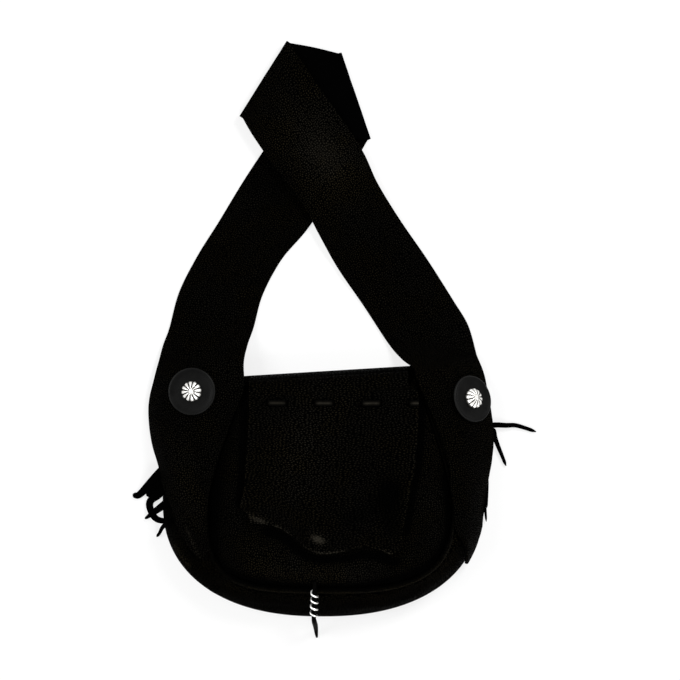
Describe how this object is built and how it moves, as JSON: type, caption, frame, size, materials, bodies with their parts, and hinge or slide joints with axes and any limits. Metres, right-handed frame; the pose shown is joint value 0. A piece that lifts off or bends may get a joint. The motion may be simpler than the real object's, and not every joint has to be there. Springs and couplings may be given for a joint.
{
  "type": "fringe bag",
  "caption": "Soft black leather crossbody bag with a hinged front flap, a wide folded strap on two domed buttons, and fringe.",
  "frame": {"origin": "middle of the back panel's resting face, on the surface that the bag lies on", "axes": "+X to the bag's right seen from the front, +Y from the bag's bottom to its mouth, +Z out through the front panel"},
  "size_m": [0.3522, 0.524, 0.045],
  "materials": {
    "black_leather": "pebbled black hide, soft sheen, matte flesh side",
    "lace_leather": "smooth flat black lace",
    "button_disc": "dark grey, satin, bevelled rim",
    "silver": "bright cast silver with dark recesses",
    "fastener_steel": "plain steel"
  },
  "bodies": {
    "bag": {"back_panel": "black_leather", "front_panel": "black_leather", "gusset": "black_leather", "front_welt": "black_leather", "strap": "black_leather", "left_fringe": "black_leather", "right_fringe": "black_leather", "tie_thong": "black_leather", "bottom_thong": "black_leather", "wire_spiral": "silver", "left_button_disc": "button_disc", "right_button_disc": "button_disc", "left_concho": "silver", "right_concho": "silver", "left_button_screw": "fastener_steel", "right_button_screw": "fastener_steel", "snap_stud": "fastener_steel"},
    "flap": {"flap": "black_leather", "flap_lace": "lace_leather", "snap_socket": "fastener_steel"}
  },
  "joints": [
    {"name": "flap_hinge", "type": "hinge", "parent": "bag", "child": "flap", "pos_m": [0, 0.0995, 0.022], "axis": [-0.998, -0.0628, 0], "range_deg": [0, 115]}
  ]
}
